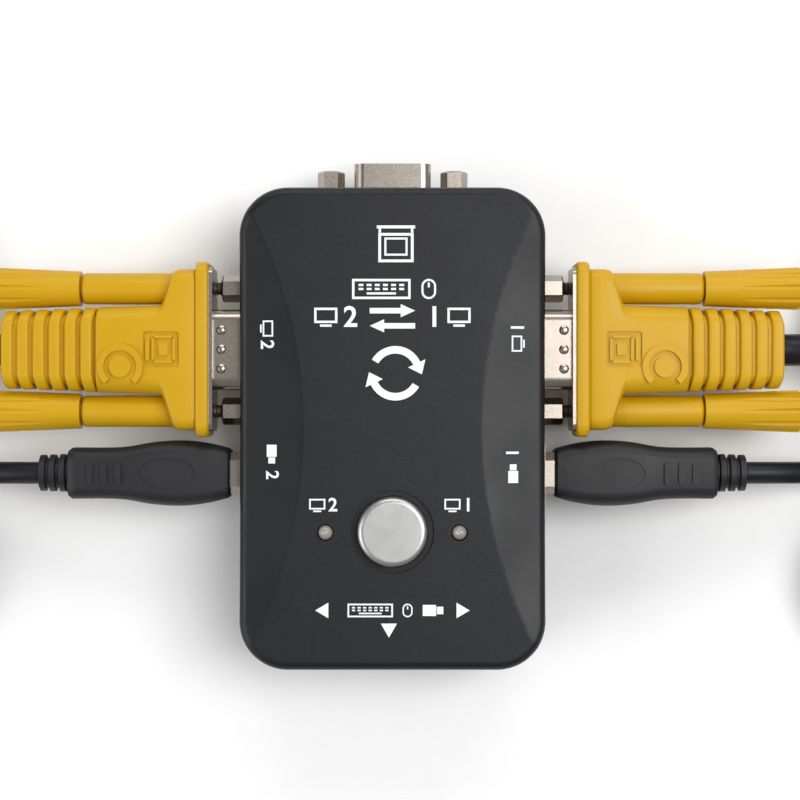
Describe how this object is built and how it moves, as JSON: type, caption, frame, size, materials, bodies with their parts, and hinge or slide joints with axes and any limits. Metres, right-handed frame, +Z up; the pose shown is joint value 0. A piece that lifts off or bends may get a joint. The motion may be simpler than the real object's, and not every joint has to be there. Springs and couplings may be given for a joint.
{
  "type": "kvm switch",
  "caption": "Pocket-sized desktop switch box that shares a keyboard, mouse and monitor between computers, with yellow-hooded monitor leads and black USB leads plugged in.",
  "frame": {"origin": "On the surface that the feet stand on, under the middle of the box and its monitor socket", "axes": "+Z up, +X towards the sockets of computer 1, +Y towards the monitor socket"},
  "size_m": [0.371, 0.1032, 0.0282],
  "materials": {
    "board_green": "lacquered",
    "button_silver": "satin silver paint",
    "can_aluminium": "satin",
    "case_plastic": "fine texture",
    "chip_black": "matte",
    "connector_nickel": "satin nickel",
    "contact_gold": "gold plate",
    "cord_black": "satin",
    "foot_rubber": "matte",
    "hood_yellow": "moulded vinyl",
    "lamp_clear": "clear",
    "plug_black": "fine texture",
    "screw_steel": "black zinc",
    "socket_black": "plain",
    "socket_white": "plain"
  },
  "bodies": {
    "case": {"bottom_cover": "case_plastic", "capacitors": "can_aluminium", "case_screws": "screw_steel", "chip_resistors": "chip_black", "circuit_board": "board_green", "crystal": "can_aluminium", "jackscrews": "connector_nickel", "lamp_pc1": "lamp_clear", "lamp_pc2": "lamp_clear", "push_switch": "chip_black", "rubber_feet": "foot_rubber", "top_cover": "case_plastic", "usb_a_contacts": "contact_gold", "usb_a_shell_front": "connector_nickel", "usb_a_shell_left": "connector_nickel", "usb_a_shell_right": "connector_nickel", "usb_a_tongue_front": "socket_black", "usb_a_tongue_left": "socket_black", "usb_a_tongue_right": "socket_black", "usb_b_housing_pc1": "socket_black", "usb_b_housing_pc2": "socket_black", "usb_b_shell_pc1": "connector_nickel", "usb_b_shell_pc2": "connector_nickel", "usb_hub_chip": "chip_black", "vga_insert_monitor": "socket_black", "vga_insert_pc1": "socket_black", "vga_insert_pc2": "socket_black", "vga_shell_monitor": "connector_nickel", "vga_shell_pc1": "connector_nickel", "vga_shell_pc2": "connector_nickel", "video_switch_chip": "chip_black"},
    "button": {"button_cap": "button_silver", "switch_plunger": "socket_white"},
    "thumbscrew_front_pc1": {"thumbscrew_front_pc1": "hood_yellow"},
    "thumbscrew_front_pc2": {"thumbscrew_front_pc2": "hood_yellow"},
    "thumbscrew_rear_pc1": {"thumbscrew_rear_pc1": "hood_yellow"},
    "thumbscrew_rear_pc2": {"thumbscrew_rear_pc2": "hood_yellow"},
    "usb_lead_pc1": {"usb_coil_pc1": "cord_black", "usb_far_plug_pc1": "plug_black", "usb_lead_pc1": "cord_black", "usb_plug_body_pc1": "plug_black", "usb_plug_shell_pc1": "connector_nickel"},
    "usb_lead_pc2": {"usb_coil_pc2": "cord_black", "usb_far_plug_pc2": "plug_black", "usb_lead_pc2": "cord_black", "usb_plug_body_pc2": "plug_black", "usb_plug_shell_pc2": "connector_nickel"},
    "monitor_lead_pc1": {"vga_coil_pc1": "cord_black", "vga_far_plug_pc1": "hood_yellow", "vga_hood_pc1": "hood_yellow", "vga_lead_pc1": "cord_black", "vga_plug_pins_pc1": "contact_gold", "vga_plug_shell_pc1": "connector_nickel"},
    "monitor_lead_pc2": {"vga_coil_pc2": "cord_black", "vga_far_plug_pc2": "hood_yellow", "vga_hood_pc2": "hood_yellow", "vga_lead_pc2": "cord_black", "vga_plug_pins_pc2": "contact_gold", "vga_plug_shell_pc2": "connector_nickel"}
  },
  "joints": [
    {"name": "button_press", "type": "slide", "parent": "case", "child": "button", "axis": [0, 0, -1], "range_m": [0, 0.0015], "stiffness_N_per_m": 900, "springref_m": -0.0012},
    {"name": "monitor_plug_pc1_out", "type": "slide", "parent": "case", "child": "monitor_lead_pc1", "axis": [1, 0, 0], "range_m": [0, 0.009]},
    {"name": "usb_plug_pc1_out", "type": "slide", "parent": "case", "child": "usb_lead_pc1", "axis": [1, 0, 0], "range_m": [0, 0.0105]},
    {"name": "thumbscrew_rear_pc1_spin", "type": "hinge", "parent": "monitor_lead_pc1", "child": "thumbscrew_rear_pc1", "pos_m": [0.06, 0.02565, 0.0143], "axis": [1, 0, 0], "continuous": true},
    {"name": "thumbscrew_front_pc1_spin", "type": "hinge", "parent": "monitor_lead_pc1", "child": "thumbscrew_front_pc1", "pos_m": [0.06, 0.00065, 0.0143], "axis": [1, 0, 0], "continuous": true},
    {"name": "monitor_plug_pc2_out", "type": "slide", "parent": "case", "child": "monitor_lead_pc2", "axis": [-1, 0, 0], "range_m": [0, 0.009]},
    {"name": "usb_plug_pc2_out", "type": "slide", "parent": "case", "child": "usb_lead_pc2", "axis": [-1, 0, 0], "range_m": [0, 0.0105]},
    {"name": "thumbscrew_rear_pc2_spin", "type": "hinge", "parent": "monitor_lead_pc2", "child": "thumbscrew_rear_pc2", "pos_m": [-0.06, 0.02565, 0.0143], "axis": [-1, 0, 0], "continuous": true},
    {"name": "thumbscrew_front_pc2_spin", "type": "hinge", "parent": "monitor_lead_pc2", "child": "thumbscrew_front_pc2", "pos_m": [-0.06, 0.00065, 0.0143], "axis": [-1, 0, 0], "continuous": true}
  ]
}
